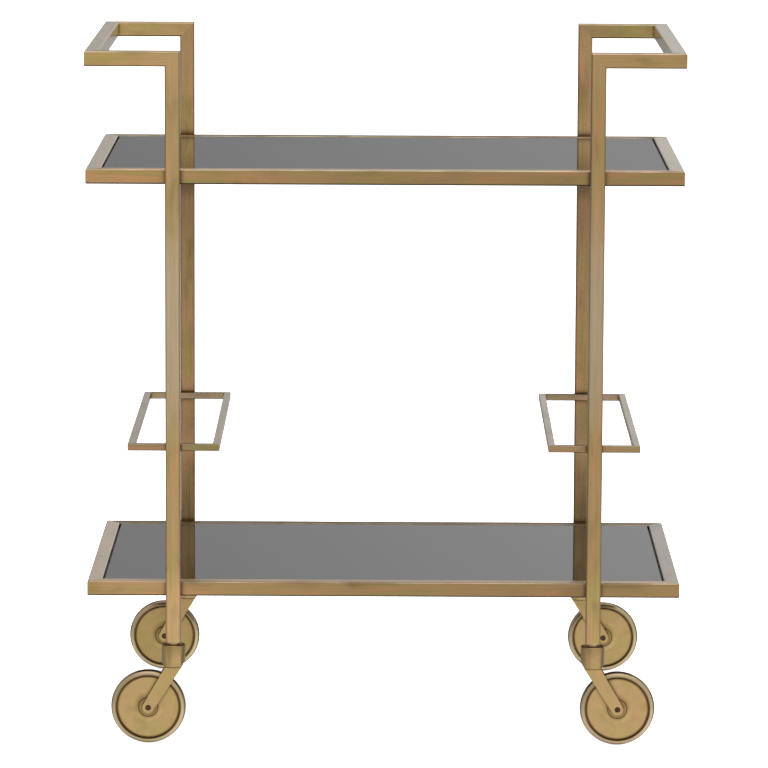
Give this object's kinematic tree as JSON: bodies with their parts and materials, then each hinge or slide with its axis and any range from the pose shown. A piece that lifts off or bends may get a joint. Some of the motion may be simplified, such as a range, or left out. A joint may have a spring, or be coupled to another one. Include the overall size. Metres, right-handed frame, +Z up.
{
  "type": "bar cart",
  "caption": "Bar cart of square brass tube with inset black glass shelves, handle loops turned outward, narrow hoops between the posts and swivel casters.",
  "frame": {"origin": "on the floor under the middle of the cart", "axes": "+Z up, +X along the shelves to the right, +Y to the rear"},
  "size_m": [0.8, 0.512, 0.938],
  "materials": {
    "frame_brass": "brushed and lightly aged brass, grain along each tube",
    "hoop_brass": "brushed and lightly aged brass",
    "fork_brass": "machined brass, grain along the arms",
    "wheel_brass": "turned brass, fine circular grain",
    "rim_brass": "turned brass, brighter from wear",
    "bush_brass": "turned brass",
    "ledge_brass": "darkened brass",
    "stem_steel": "bright turned steel",
    "axle_steel": "oil-darkened steel",
    "black_glass": "opaque black glass, polished, with ground edges"
  },
  "bodies": {
    "cart": {"post_front_left": "frame_brass", "post_rear_left": "frame_brass", "post_front_right": "frame_brass", "post_rear_right": "frame_brass", "handle_arm_front_left": "frame_brass", "handle_arm_rear_left": "frame_brass", "handle_arm_front_right": "frame_brass", "handle_arm_rear_right": "frame_brass", "handle_crossbar_left": "frame_brass", "handle_crossbar_right": "frame_brass", "upper_front_rail": "frame_brass", "upper_rear_rail": "frame_brass", "upper_left_rail": "frame_brass", "upper_right_rail": "frame_brass", "upper_glass": "black_glass", "upper_glass_ledges": "ledge_brass", "lower_front_rail": "frame_brass", "lower_rear_rail": "frame_brass", "lower_left_rail": "frame_brass", "lower_right_rail": "frame_brass", "lower_glass": "black_glass", "lower_glass_ledges": "ledge_brass", "left_hoop_outer_bar": "hoop_brass", "left_hoop_rear_bar": "hoop_brass", "left_hoop_inner_bar": "hoop_brass", "left_hoop_front_bar": "hoop_brass", "right_hoop_outer_bar": "hoop_brass", "right_hoop_rear_bar": "hoop_brass", "right_hoop_inner_bar": "hoop_brass", "right_hoop_front_bar": "hoop_brass", "post_plugs": "stem_steel", "swivel_spacers": "stem_steel", "stem_front_left": "stem_steel", "stem_rear_left": "stem_steel", "stem_front_right": "stem_steel", "stem_rear_right": "stem_steel"},
    "caster_front_left": {"fork_front_left": "fork_brass", "axle_front_left": "axle_steel"},
    "wheel_front_left": {"wheel_disc_front_left": "wheel_brass", "wheel_rim_front_left": "rim_brass", "wheel_bush_front_left": "bush_brass"},
    "caster_rear_left": {"fork_rear_left": "fork_brass", "axle_rear_left": "axle_steel"},
    "wheel_rear_left": {"wheel_disc_rear_left": "wheel_brass", "wheel_rim_rear_left": "rim_brass", "wheel_bush_rear_left": "bush_brass"},
    "caster_front_right": {"fork_front_right": "fork_brass", "axle_front_right": "axle_steel"},
    "wheel_front_right": {"wheel_disc_front_right": "wheel_brass", "wheel_rim_front_right": "rim_brass", "wheel_bush_front_right": "bush_brass"},
    "caster_rear_right": {"fork_rear_right": "fork_brass", "axle_rear_right": "axle_steel"},
    "wheel_rear_right": {"wheel_disc_rear_right": "wheel_brass", "wheel_rim_rear_right": "rim_brass", "wheel_bush_rear_right": "bush_brass"}
  },
  "joints": [
    {"name": "swivel_front_left", "type": "hinge", "parent": "cart", "child": "caster_front_left", "pos_m": [-0.283, -0.24, 0.12], "axis": [0, 0, 1], "continuous": true},
    {"name": "wheel_spin_front_left", "type": "hinge", "parent": "caster_front_left", "child": "wheel_front_left", "pos_m": [-0.317, -0.24, 0.0505], "axis": [0, 1, 0], "continuous": true},
    {"name": "swivel_rear_left", "type": "hinge", "parent": "cart", "child": "caster_rear_left", "pos_m": [-0.283, 0.24, 0.12], "axis": [0, 0, 1], "continuous": true},
    {"name": "wheel_spin_rear_left", "type": "hinge", "parent": "caster_rear_left", "child": "wheel_rear_left", "pos_m": [-0.317, 0.24, 0.0505], "axis": [0, 1, 0], "continuous": true},
    {"name": "swivel_front_right", "type": "hinge", "parent": "cart", "child": "caster_front_right", "pos_m": [0.283, -0.24, 0.12], "axis": [0, 0, 1], "continuous": true},
    {"name": "wheel_spin_front_right", "type": "hinge", "parent": "caster_front_right", "child": "wheel_front_right", "pos_m": [0.317, -0.24, 0.0505], "axis": [0, 1, 0], "continuous": true},
    {"name": "swivel_rear_right", "type": "hinge", "parent": "cart", "child": "caster_rear_right", "pos_m": [0.283, 0.24, 0.12], "axis": [0, 0, 1], "continuous": true},
    {"name": "wheel_spin_rear_right", "type": "hinge", "parent": "caster_rear_right", "child": "wheel_rear_right", "pos_m": [0.317, 0.24, 0.0505], "axis": [0, 1, 0], "continuous": true}
  ]
}
